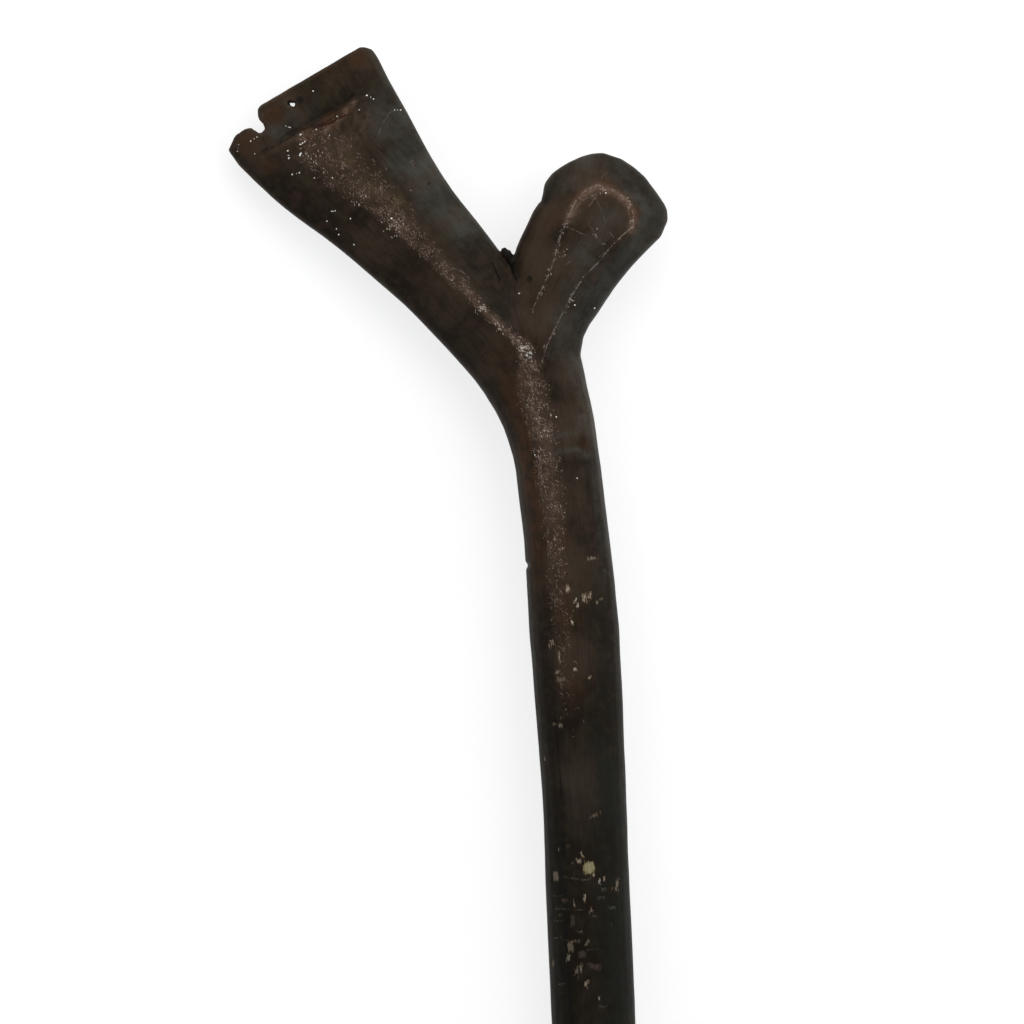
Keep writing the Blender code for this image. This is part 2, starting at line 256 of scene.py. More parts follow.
# White specks on the upper face, as place and radius.
SPECKS = [((x, y), radius) for x, y, radius in (
    (-141.5, 1010.5, 0.45), (-139.2, 1009.7, 0.45), (-133, 1005.2, 0.6), (-131, 1001.5, 0.5),
    (-133.5, 1000, 0.6), (-140.5, 997, 0.6), (-140.3, 993, 0.6), (-134, 994.2, 0.75),
    (-133.4, 995.1, 0.55), (-139, 984, 0.55), (-135, 984.8, 0.6), (-157.5, 1005.5, 0.4),
    (-161, 1003.5, 0.4), (-167.5, 1002, 0.35), (-168.5, 998.5, 0.45), (-159, 996.5, 0.35),
    (-124.5, 1007.5, 0.4), (-117.5, 1004, 0.45), (-113, 1014, 0.4), (-101, 1017, 0.4),
    (-96.5, 1024.5, 0.65), (-93, 1022.5, 0.45), (-82, 1016, 0.4), (-79, 1016, 0.4), (-118.5, 963, 0.45),
    (-116.5, 963.2, 0.45), (-108.5, 958.5, 0.5), (-116.5, 953.5, 0.45), (-121.5, 958, 0.4),
    (-127, 981.5, 0.45), (-117, 981, 0.45), (-107.5, 944.5, 0.45), (-86, 957.5, 0.6), (10.5, 905.5, 0.5),
    (20.5, 903.5, 0.45), (-19.5, 913.5, 0.55), (30, 965, 0.55), (-15, 826, 0.45), (7, 812.5, 0.45),
    (-2.5, 846, 0.45),
)]


class Chip(NamedTuple):
    """A spot where the dark skin is gone: place, length along the club, width, wood, and turn in degrees."""

    at: tuple
    length: float
    width: float
    wood: str = "tan"
    turn: float = 0.0


WOODS = {
    "cream": (0.34, 0.295, 0.165),
    "bone": (0.34, 0.272, 0.212),
    "ash": (0.195, 0.165, 0.128),
    "tan": (0.135, 0.11, 0.08),
    "brown": (0.062, 0.047, 0.036),
    "grey": (0.06, 0.061, 0.049),
    "pale": (0.48, 0.44, 0.37),
}

CHIPS = [Chip((x, y), *rest) for x, y, *rest in (
    (13, 769, 2.2, 5.8, "ash"), (-1.5, 753.5, 4.3, 2.2, "bone"), (3, 747.5, 1.8, 1.3, "pale"),
    (3.5, 744, 1.8, 1.3, "pale"), (8, 748, 4.3, 2.7, "bone"), (11, 749.5, 3.2, 1.6, "bone"),
    (14, 745.5, 2.2, 2.2, "ash", 35), (17, 747, 1.6, 3.2, "tan", -25), (0.5, 735.5, 2.2, 1.3, "pale"),
    (-12, 724.5, 3.2, 1.3, "bone"), (-10.2, 724.5, 3.2, 1.6, "bone"), (-7, 717, 4.3, 1.4, "bone"),
    (-8, 709.5, 2.2, 3.8, "ash"), (-7.5, 705.5, 3.2, 4.9), (0.5, 710, 1.6, 1.6, "pale"),
    (9, 705, 1.8, 1.8, "bone"), (19, 762.5, 1.6, 4.3, "grey"), (-8.5, 680, 2.7, 2.2, "ash"),
    (-11.5, 681.5, 2.7, 1.6), (-18.5, 662.5, 2.2, 2.2), (7.4, 631.4, 1.9, 6, "tan", -20),
    (-13, 614.5, 2.2, 1.1), (-8, 615, 2.7, 3.2, "brown"), (-0.5, 610, 3, 1.5, "bone", -12),
    (-2.8, 607.6, 2, 2.6, "bone", 20), (-6, 606.5, 1.1, 1.1), (3, 603, 6.6, 5.6, "cream"),
    (4.4, 598.8, 1.8, 1.8, "bone"), (-15.5, 599, 5.4, 4.9), (8, 596, 2.7, 1.1, "pale"),
    (11, 597.5, 2.7, 1.1, "bone"), (17, 593, 7, 2.2, "ash", 10), (14.5, 591.5, 2.2, 1.1),
    (0, 587.5, 3.8, 1.6, "bone"), (-11, 586, 2.7, 4.3, "brown"), (8.5, 587, 2.2, 4.9, "grey"),
    (10, 591.5, 2.2, 3.2, "grey"), (-6, 584.5, 2.2, 0.6, "bone"), (-16, 582.5, 1.6, 1.6, "grey"),
    (2.5, 580, 2.7, 1.4, "bone"), (-14, 578, 1.6, 2.7, "brown"), (-15.5, 575, 1.4, 3.2, "grey"),
    (-7, 575.5, 6.5, 3.2, "brown"), (14, 581.5, 2.2, 5.4, "grey"), (13.5, 572, 1.6, 1.6, "grey"),
    (-3.5, 569, 1.1, 2.2), (-7, 564.5, 1.6, 7), (-9, 561.5, 4.9, 3.8), (0, 563.5, 3.2, 2.2, "ash"),
    (-10.5, 555, 4.3, 2.2, "ash", 12), (-3.5, 557, 4.3, 4.3, "brown"), (3, 550, 3.8, 7.6, "brown", 10),
    (-6.5, 548, 4.3, 1.6, "ash", 12), (-3.8, 549, 4.9, 1.6, "ash", 8),
    (-1.5, 541.5, 3.8, 2.2, "bone", 15), (5, 533, 2.4, 1.2, "pale"), (5.5, 528.5, 1.6, 3.2, "grey"),
    (-19.5, 552.5, 4.3, 2.7),
)]

# Stray chips: on the underside and on the lower shaft.
STRAY_CHIPS = 110
STRAY_CHIPS_END = 700.0     # the highest place on the shaft that has them
PLACED_CHIPS_START = 515.0  # above this the upper face has only the placed chips

# Drying cracks on the upper face, and a red one along the shoulder of the step.
CRACKS = [Stroke(*row) for row in (
    (((-11, 684), (-10.5, 662), (-10, 640)), 0.7),
    (((6, 470), (5, 440), (6.5, 405), (6, 380)), 0.8),
    (((-8, 300), (-7, 262), (-8.5, 236)), 0.8),
    (((4, 150), (3, 118), (4.5, 92)), 0.7),
    (((-33, 930), (-30, 922)), 0.9),
    (((-24.5, 931), (-23, 926), (-21, 921)), 1.2),
    (((-126, 1008.2), (-121, 1009.6), (-116.5, 1010.4), (-113, 1012.6), (-108.5, 1014.4)), 1.4, 1.0),
)]

# Dark lumps in the crotch, as place and radius; they stand for its shadowed underside, and their near-black is
# painted shade.
CROTCH_LUMPS = [
    ((-26.6, 936.6, 1.5), 2.0), ((-25.4, 934.6, 3.0), 2.4), ((-24.0, 932.2, 1.0), 2.8),
    ((-22.6, 930.4, 4.0), 2.4), ((-25.2, 933.8, -2.5), 2.4), ((-23.0, 930.8, -4.0), 2.6),
]

FORK = (850.0, 890.0)       # over which the spur's grain leaves the shaft's
CROTCH = (-23.0, 929.0)
VALLEY = [(-19.0, 915.0), (-15.0, 901.0), (-12.0, 892.0)]     # between the roots of the blade and the spur
NOTCH_MIDDLE = (-157.5, 1012.0)
HOLE_MIDDLE = (-137.8, 1022.3)


# ---- Fields over the surface ----

FACE_EDGE = 2.0             # either side of the middle, where one face gives way to the other
OFF_MIDDLE = (4.0, 9.0)     # the height over which the marks of the tongue come in, on either face
STROKE_REACH = 4.0          # how far the fields know of a stroke, a speck and a chip
SPECK_REACH = 9.0
CHIP_REACH = 3.0


def away_from(middle, points):
    """How far each point is from a place in plan, in mm."""
    return np.hypot(points[:, 0] - middle[0], points[:, 1] - middle[1])


def ramp(values, low, high):
    """0 below low and 1 above high, smooth between them; falling instead where high is less than low."""
    share = np.clip((values - low) / (high - low), 0.0, 1.0)
    return share * share * (3.0 - 2.0 * share)


def lattice_noise(points, cell, seed):
    """Smooth random values from -1 to 1, whose features are about a cell (mm, or mm in x, y, z) across."""
    count = 32
    table = np.random.default_rng(seed).uniform(-1.0, 1.0, (count, count, count))
    scaled = points / np.asarray(cell, float)
    base = np.floor(scaled).astype(int)
    part = scaled - base
    part = part ** 3 * (part * (part * 6.0 - 15.0) + 10.0)
    total = np.zeros(len(points))
    for corner in np.ndindex(2, 2, 2):
        index = (base + corner) % count
        weight = np.prod(np.where(corner, part, 1.0 - part), axis=1)
        total += weight * table[index[:, 0], index[:, 1], index[:, 2]]
    return total


def follow(points, line):
    """In plan: how far along a line each point is, and how far to the right of it (minus: to the left)."""
    distance = np.full(len(points), np.inf)
    along = np.zeros(len(points))
    side = np.zeros(len(points))
    run = 0.0
    for start, end in zip(np.array(line, float), np.array(line[1:], float)):
        step = end - start
        length = np.hypot(*step)
        share = np.clip((points[:, :2] - start) @ step / length ** 2, 0.0, 1.0)
        offset = points[:, :2] - start - share[:, None] * step
        here = np.hypot(offset[:, 0], offset[:, 1])
        closer = here < distance
        turn = np.where(offset[:, 0] * step[1] - offset[:, 1] * step[0] < 0.0, -1.0, 1.0)
        distance = np.where(closer, here, distance)
        along = np.where(closer, run + share * length, along)
        side = np.where(closer, turn * here, side)
        run += length
    return along, side


def line_knots(line):
    """How far along a line each of its points is."""
    steps = np.diff(np.array(line, float), axis=0)
    return np.concatenate(([0.0], np.cumsum(np.hypot(steps[:, 0], steps[:, 1]))))


def near_line(points, line, width):
    """1 on a line, fading to 0 at a few widths."""
    return np.exp(-(follow(points, line)[1] / width) ** 2)


def on_face(points, face):
    """1 where a point is on the asked face: 1 upper, -1 under, 0 both."""
    return np.ones(len(points)) if face == 0 else ramp(points[:, 2] * face, -FACE_EDGE, FACE_EDGE)


def marks_field(points, placed):
    """The highest of several soft round marks."""
    field = np.zeros(len(points))
    for mark in placed:
        distance = away_from(mark.at, points)
        here = mark.amount * ramp(distance, mark.radius, 0.2 * mark.radius) * on_face(points, mark.face)
        field = np.maximum(field, here)
    return field


def crest_field(points):
    """How rubbed the band along the crest is, from 0 to 1, on both faces."""
    line = [point.at for point in CREST]
    knots = line_knots(line)
    along, side = follow(points, line)
    left = np.interp(along, knots, [point.left for point in CREST])
    right = np.interp(along, knots, [point.right for point in CREST])
    worn = np.interp(along, knots, [point.worn for point in CREST])
    share = np.abs(side) / np.where(side < 0.0, left, right)
    short_of_step = ramp(follow(points, STEP_FOOT)[1], -0.5, 2.0)
    return worn * ramp(share, 1.15, 0.25) * ramp(np.abs(points[:, 2]), 2.0, 8.0) * short_of_step


def marks_sum(points, placed):
    """Several wide soft marks added up."""
    total = np.zeros(len(points))
    for mark in placed:
        total += mark.amount * marks_field(points, [mark._replace(amount=1.0)])
    return total


def stroke_field(points, placed, face):
    """The nearest stroke: a signed share of half its width, the plain distance in mm, and its extra.

    The sign keeps a line thinner than a face of the mesh, and the distance says where to trust the sign.
    """
    share = np.full(len(points), STROKE_REACH)
    distance = np.full(len(points), STROKE_REACH)
    extra = np.zeros(len(points))
    for stroke in placed:
        side = follow(points, stroke.points)[1]
        closer = (np.abs(side) < distance) & (on_face(points, face) > 0.5)
        share = np.where(closer, side / (stroke.width / 2.0), share)
        distance = np.where(closer, np.abs(side), distance)
        extra = np.where(closer, stroke.extra, extra)
    return np.stack((np.clip(share, -STROKE_REACH, STROKE_REACH), distance, extra), axis=1)


def speck_field(points):
    """The way in plan from the nearest white speck, in shares of its radius, and the distance in mm."""
    field = np.full((len(points), 3), SPECK_REACH)
    for middle, radius in SPECKS:
        way = points[:, :2] - middle
        distance = np.hypot(way[:, 0], way[:, 1])
        closer = (distance < field[:, 2]) & (points[:, 2] > 0.0)
        field[closer, :2] = way[closer] / radius
        field[closer, 2] = distance[closer]
    return field


def grain_path(points):
    """Where each point is for the grain: across the limb, along it, and through it, in mm."""
    along, side = follow(points, MAIN_LINE)
    spur_along, spur_side = follow(points, SPUR_LINE)
    spur_start = follow(np.array([SPUR_LINE[0]], float), MAIN_LINE)[0][0]
    share = ramp(np.abs(side) - np.abs(spur_side), -5.0, 5.0) * ramp(points[:, 1], *FORK)
    along = along + share * (spur_along + spur_start - along)
    side = side + share * (spur_side - side)
    return np.stack((side, along, points[:, 2]), axis=1)


# ---- The fine mesh ----

class Skin:
    """The fine mesh as arrays, in the club's own frame."""

    def __init__(self, mesh):
        self.mesh = mesh
        self.points = to_club(self.read("vertices", "co", 3))
        self.edges = self.read("edges", "vertices", 2, int)
        self.valence = np.bincount(self.edges.ravel(), minlength=len(self.points))

    def read(self, kind, name, width, number=float):
        items = getattr(self.mesh, kind)
        values = np.empty(len(items) * width, np.float32 if number is float else np.int32)
        items.foreach_get(name, values)
        return values.reshape(-1, width).astype(number)

    def average(self, values):
        """The mean of each point's neighbours."""
        one, other = self.edges.T
        count = len(self.points)
        columns = values.reshape(count, -1).T
        sums = [
            np.bincount(one, column[other], count) + np.bincount(other, column[one], count)
            for column in columns
        ]
        return (np.array(sums) / self.valence).T.reshape(values.shape)

    def relax(self, values, passes):
        """Values blurred over the surface."""
        for _ in range(passes):
            values = 0.5 * (values + self.average(values))
        return values

    def fair(self, points, passes):
        """Points smoothed without shrinking: each pass steps in, and then out by slightly more (Taubin)."""
        for _ in range(passes):
            for step in (0.5, -0.52):
                points = points + step * (self.average(points) - points)
        return points

    def write(self):
        self.mesh.vertices.foreach_set("co", to_scene(self.points).astype(np.float32).ravel())
        self.mesh.update()

    def normals(self):
        self.write()
        return self.read("vertex_normals", "vector", 3) @ ROLL

    def store(self, name, values):
        """Keep values as a vertex attribute that the material reads."""
        kind = "FLOAT" if values.ndim == 1 else "FLOAT_VECTOR"
        attribute = self.mesh.attributes.new(name, kind, "POINT")
        field = "value" if values.ndim == 1 else "vector"
        attribute.data.foreach_set(field, values.astype(np.float32).ravel())


def new_object(name, data):
    """An object in the scene, with its data."""
    made = bpy.data.objects.new(name, data)
    bpy.context.scene.collection.objects.link(made)
    return made


def fine_copy(node, name, lumps):
    """A finely remeshed copy of a CAD node, in the same place, grown together with round lumps."""
    mesh_data = bmesh.new()
    mesh_data.from_mesh(frame["nodes"][node].data)
    bmesh.ops.remove_doubles(mesh_data, verts=mesh_data.verts, dist=1e-6)
    for middle, radius in lumps:
        place = Matrix.Translation(to_scene(np.array(middle)))
        bmesh.ops.create_icosphere(mesh_data, subdivisions=2, radius=radius * MM, matrix=place)
    coarse = new_object("coarse", bpy.data.meshes.new("coarse"))
    mesh_data.to_mesh(coarse.data)
    mesh_data.free()
    remesh = coarse.modifiers.new("fine", "REMESH")
    remesh.mode = "VOXEL"
    remesh.voxel_size = VOXEL * MM
    depsgraph = bpy.context.evaluated_depsgraph_get()
    mesh = bpy.data.meshes.new_from_object(coarse.evaluated_get(depsgraph), depsgraph=depsgraph)
    bpy.data.objects.remove(coarse)
    mesh.name = name
    mesh.materials.clear()
    return new_object(name, mesh)


# ---- Carving ----

class Spot(NamedTuple):
    """A chip laid on the surface: its middle, the directions along and across it, half sizes, and wood."""

    middle: np.ndarray
    along: np.ndarray
    across: np.ndarray
    half: tuple
    wood: str


def lay_chip(chip, middle, normal):
    turn = math.radians(chip.turn)
    up = np.array((0.0, 1.0, 0.0))
    up = up - (up @ normal) * normal
    up /= np.linalg.norm(up)
    right = np.cross(up, normal)
    along = math.cos(turn) * up + math.sin(turn) * right
    across = math.cos(turn) * right - math.sin(turn) * up
    return Spot(middle, along, across, (chip.length / 2, chip.width / 2), chip.wood)


def chip_spots(points, normals):
    """The placed chips on the upper face, and stray ones elsewhere on the shaft."""
    upper = np.flatnonzero(points[:, 2] > 0.0)
    spots = []
    for chip in CHIPS:
        nearest = upper[np.argmin(away_from(chip.at, points[upper]))]
        spots.append(lay_chip(chip, points[nearest], normals[nearest]))
    random = np.random.default_rng(11)
    free = (points[:, 1] > 12.0) & (points[:, 1] < STRAY_CHIPS_END)
    free &= (points[:, 2] < -6.0) | (points[:, 1] < PLACED_CHIPS_START)
    places = np.flatnonzero(free)
    woods = list(WOODS)
    for place in random.choice(places, STRAY_CHIPS, replace=False):
        length = random.gamma(2.6, 1.1) + 0.8
        width = random.gamma(2.6, 0.7) + 0.6
        turn = random.normal(0.0, 12.0)
        chip = Chip((0, 0), length, width, woods[random.integers(len(woods))], turn)
        spots.append(lay_chip(chip, points[place], normals[place]))
    return spots


def chip_fields(points, spots):
    """About the signed distance (mm) to the edge of the nearest chip, and that chip's wood colour."""
    edge = np.full(len(points), CHIP_REACH)
    wood = np.tile(WOODS["tan"], (len(points), 1))
    for spot in spots:
        size = max(spot.half) + CHIP_REACH
        near = np.flatnonzero(np.abs(points[:, 1] - spot.middle[1]) < size)
        offset = points[near] - spot.middle
        near_in_depth = np.linalg.norm(offset, axis=1) < 2.0 * size
        share = np.abs(np.stack((offset @ spot.along, offset @ spot.across), axis=1)) / spot.half
        distance = (np.sum(share ** 6, axis=1) ** (1.0 / 6.0) - 1.0) * min(spot.half)
        closer = near_in_depth & (distance < edge[near])
        edge[near[closer]] = distance[closer]
        wood[near[closer]] = WOODS[spot.wood]
    return edge, wood


# Passes of smoothing where the club is crisp, elsewhere, and in the valley; and widths of such places in mm.
LIGHT_PASSES = 6
FULL_PASSES = 70
VALLEY_PASSES = 120
CRISP_WIDTH = 4.0
VALLEY_WIDTH = 9.0

# Heights and depths of the relief in mm.
CROTCH_LUMP_HEIGHT = 0.6
DENT_DEPTH = 1.1
CHIP_DEPTH = 0.30
CRACK_DEPTH = 0.30
FULL_BEND = 0.25            # a point this far out of its surroundings counts as on an edge


def tool_relief(path):
    """The slow unevenness of carving by hand, drawn out along the grain, then worn."""
    return (
        0.34 * lattice_noise(path, (19.0, 46.0, 19.0), 1)
        + 0.16 * lattice_noise(path, (8.0, 20.0, 8.0), 2)
        + 0.06 * lattice_noise(path, (3.5, 9.0, 3.5), 3)
    )


def step_relief(points):
    """The step to the lip: a ragged groove at its foot and a crisper shoulder."""
    along, side = follow(points, STEP_FOOT)
    ragged = 0.6 + 0.4 * lattice_noise(points, 3.0, 4)
    groove = -0.35 * ragged * np.exp(-(side / 1.1) ** 2)
    shoulder = 0.35 * ragged * np.exp(-((side - 2.8) / 1.6) ** 2)
    end = line_knots(STEP_FOOT)[-1]
    inside = ramp(along, 0.0, 6.0) * ramp(along, end, end - 6.0)
    return (groove + shoulder) * inside


def tongue_relief(points):
    """The raised outline of the tongue, on both faces."""
    sides = np.maximum(near_line(points, TONGUE_LEFT, 0.9), near_line(points, TONGUE_RIGHT, 0.9))
    end = near_line(points, TONGUE_END, 1.6)
    ragged = 0.75 + 0.25 * lattice_noise(points, 2.5, 5)
    return ragged * (0.30 * sides + 0.20 * end) * ramp(np.abs(points[:, 2]), *OFF_MIDDLE)


def crotch_lump_field(points):
    """1 on the lumps in the crotch."""
    field = np.zeros(len(points))
    for middle, radius in CROTCH_LUMPS:
        distance = np.linalg.norm(points - middle, axis=1)
        field = np.maximum(field, ramp(distance, radius + 1.4, radius + 0.4))
    return field


def broken_relief(points):
    """The torn wood around the notch and the hole."""
    notch = ramp(away_from(NOTCH_MIDDLE, points), 14.0, 5.0)
    hole = ramp(away_from(HOLE_MIDDLE, points), 5.0, 1.5)
    return 0.45 * np.maximum(notch, hole) * lattice_noise(points, 1.8, 7)


def torn_open(points):
    """Points near the hole moved apart, unevenly, to leave it as wide as it has broken out."""
    way = points[:, :2] - HOLE_MIDDLE
    distance = np.hypot(way[:, 0], way[:, 1])
    turn = np.arctan2(way[:, 1], way[:, 0])
    widening = 0.70 + 0.35 * np.sin(2.0 * turn + 2.4) + 0.20 * np.sin(3.0 * turn)
    moved = points.copy()
    moved[:, :2] += (widening * ramp(distance, 6.0, 1.5) / np.maximum(distance, 0.5))[:, None] * way
    return moved


def carve(skin):
    """Smooth away the facets of the CAD solid, keep its crisp lines, and add the relief."""
    rough = skin.points
    crisp_lines = (STEP_FOOT, TONGUE_LEFT, TONGUE_END, TONGUE_RIGHT)
    crisp = np.max([near_line(rough, line, CRISP_WIDTH) for line in crisp_lines], axis=0)
    for middle, far, near in ((NOTCH_MIDDLE, 12.0, 8.0), (HOLE_MIDDLE, 6.0, 3.0), (CROTCH, 14.0, 6.0)):
        crisp = np.maximum(crisp, ramp(away_from(middle, rough), far, near))
    crisp = np.maximum(crisp, ramp(rough[:, 1], 6.0, 3.0))
    light = skin.fair(rough, LIGHT_PASSES)
    full = skin.fair(light, FULL_PASSES)
    formed = full + crisp[:, None] * (light - full)
    filled = near_line(formed, VALLEY, VALLEY_WIDTH)[:, None]
    skin.points = torn_open(formed + filled * (skin.relax(formed, VALLEY_PASSES) - formed))

    normals = skin.normals()
    points = skin.points
    path = grain_path(points)
    edge, wood = chip_fields(points, chip_spots(points, normals))
    away_from_butt = ramp(points[:, 1], 2.0, 14.0)
    relief = (SKIN_GAIN + tool_relief(path)) * away_from_butt
    relief += step_relief(points) + tongue_relief(points) + broken_relief(points)
    relief += CROTCH_LUMP_HEIGHT * crotch_lump_field(points) * lattice_noise(points, 1.4, 6)
    relief -= DENT_DEPTH * marks_field(points, DENTS)
    relief -= CHIP_DEPTH * ramp(edge, 0.5, -0.5)
    relief -= CRACK_DEPTH * np.exp(-stroke_field(points, CRACKS, 1)[:, 0] ** 2)
    skin.points = points + normals * relief[:, None]
    skin.write()
    return path, edge, wood


def bent_outwards(skin):
    """How convex the surface is, about from -1 (a groove) to 1 (an edge)."""
    smooth_points = skin.relax(skin.points, 3)
    normals = skin.normals()
    inward = np.einsum("ij,ij->i", skin.relax(smooth_points, 10) - smooth_points, normals)
    return np.clip(-inward / FULL_BEND, -1.0, 1.0)


def store_looks(skin, path, edge, wood):
    """The vertex attributes that the material reads."""
    points = skin.points
    x, y, z = points.T
    normal_x, _, normal_z = skin.normals().T
    bend = bent_outwards(skin)
    upper = on_face(points, 1)
    inside = points + (0.0, 1.2, 0.0)
    end = near_line(inside, TONGUE_END, 2.2) * ramp(np.abs(z), *OFF_MIDDLE)
    below = points - (5.0, -9.0, 0.0)
    ragged = np.clip(0.75 + 0.8 * lattice_noise(points, 2.4, 9), 0.2, 1.2)
    # The shoulder of the step is lighter from wear, and from a painted highlight on its rounded edge.
    shoulder = np.maximum(
        0.7 * near_line(points, SHOULDER, 2.1), 0.28 * near_line(below, SHOULDER, 8.0) * upper,
    ) * ragged
    rubbed = np.maximum(np.maximum(end, shoulder), 0.16 * ramp(bend, 0.35, 1.0))
    broken = 0.5 + 0.5 * lattice_noise(points, 5.0, 8)
    # A painted shadow along the foot of the step.
    foot = (0.10 + 0.5 * broken) * near_line(points, STEP_FOOT, 1.0)
    # Where the material darkens the wood: painted shade in grooves, dents and the crotch, the painted shadow
    # at the step's foot, and real stains.
    shade_and_dirt = np.max([
        0.7 * ramp(-bend, 0.15, 0.9), foot, crotch_lump_field(points),
        0.6 * marks_field(points, DENTS), marks_field(points, STAINS),
    ], axis=0)
    strip_along, strip_side = follow(points, RED_STRIP)
    strip_end = line_knots(RED_STRIP)[-1]
    strip = 0.85 * ramp(strip_side, -1.6, -0.2) * ramp(strip_side, 13.0, 4.5) * ramp(strip_along, 0.0, 25.0)
    strip *= ramp(strip_along, strip_end, strip_end - 70.0)
    red = np.maximum(marks_field(points, RED_MARKS), strip)
    red *= ramp(np.abs(normal_z), 0.25, 0.60)
    # A painted grey reflection of the lights: on flanks that face right, and at the grey marks.
    grey = ramp(normal_x, 0.15, 0.55) * ramp(y, 850.0, 905.0)
    grey = np.maximum(grey, 0.6 * ramp(normal_x, 0.40, 0.80) * ramp(y, 730.0, 800.0))
    grey *= 1.0 - marks_field(points, BROWN_MARKS)
    grey = np.maximum(grey, marks_field(points, GREY_MARKS))
    smear = np.max([near_line(points, stroke.points, stroke.width) for stroke in SMEARS], axis=0) * upper
    shaft = ramp(y, 800.0, 740.0)
    tone_and_shade = marks_sum(points, TONES)
    # Painted shade: darker on flanks that face left, and on the shaft's flanks that face right.
    tone_and_shade -= 0.22 * ramp(-normal_x, 0.15, 0.6) + 0.20 * shaft * ramp(normal_x, 0.15, 0.6)
    stray = ramp(y, 925.0, 960.0) * ramp(x, -60.0, -85.0)
    looks = {
        "grain": path,
        "worn": crest_field(points),
        "glint_share": marks_field(points, GLINT_MARKS),
        "rubbed": rubbed,
        "red": red * (0.4 + 0.6 * upper),
        "grey": grey,
        "smear": smear,
        "olive": marks_field(points, OLIVE_MARKS),
        "tone_and_shade": tone_and_shade,
        "stray_flecks": stray,
        "shade_and_dirt": shade_and_dirt,
        "chip_edge": edge,
        "chip_wood": wood,
        "scratch": stroke_field(points, SCRATCHES, 1),
        "arris": stroke_field(points, ARRISES, 0),
        "crack": stroke_field(points, CRACKS, 1),
        "speck": speck_field(points),
    }
    for name, values in looks.items():
        skin.store(name, values)


# ---- Material ----

# Colours of the wood, linear.
DARK_SKIN = (0.0122, 0.008, 0.0045)
BROWN_SKIN = (0.052, 0.034, 0.0225)
OLIVE_SKIN = (0.033, 0.0275, 0.015)
ROSE_SKIN = (0.05, 0.028, 0.023)
RED_WOOD = (0.049, 0.0224, 0.0104)
YELLOW_SKIN = (0.06, 0.048, 0.018)
# A painted grey reflection of the lights, in a darker and a lighter form.
DARK_GREY_SHEEN = (0.03, 0.0298, 0.0242)
GREY_SHEEN = (0.06, 0.059, 0.05)
TAUPE_SKIN = (0.04, 0.0325, 0.0265)
SMEAR = (0.06, 0.053, 0.044)
GREEN_SKIN = (0.0125, 0.0132, 0.0095)
# Green darkened by painted shade, down the left of the shaft.
SHADED_MOSS_SKIN = (0.0066, 0.0048, 0.0014)
RUBBED_WOOD = (0.15, 0.094, 0.068)
# Rubbed marks on the crest, lightened for painted glints too.
BRUISE_AND_GLINT = (0.25, 0.185, 0.148)
CRACK_RED = (0.034, 0.012, 0.0065)
# Pale scratches and worn edges, and painted glints.
PALE_WEAR_AND_GLINT = (0.42, 0.355, 0.31)
# Bare pale wood where the glints gather most, lit up as a painted highlight.
BARE_AND_GLINT_WHITE = (0.62, 0.57, 0.53)
WHITE_FLECK = (0.9, 0.88, 0.83)
# Near-black: dirt in the grain, pores and cracks, and painted shade in grooves and recesses.
DIRT_AND_SHADE = (0.005, 0.0048, 0.004)
CHIP_GRAIN = (0.55, 0.50, 0.42)     # by which the grain and the rim darken a chip
CHIP_RIM = (0.42, 0.36, 0.30)
SHAFT_SHADE = 0.78                  # the shaft is darker all over than the head, by this factor


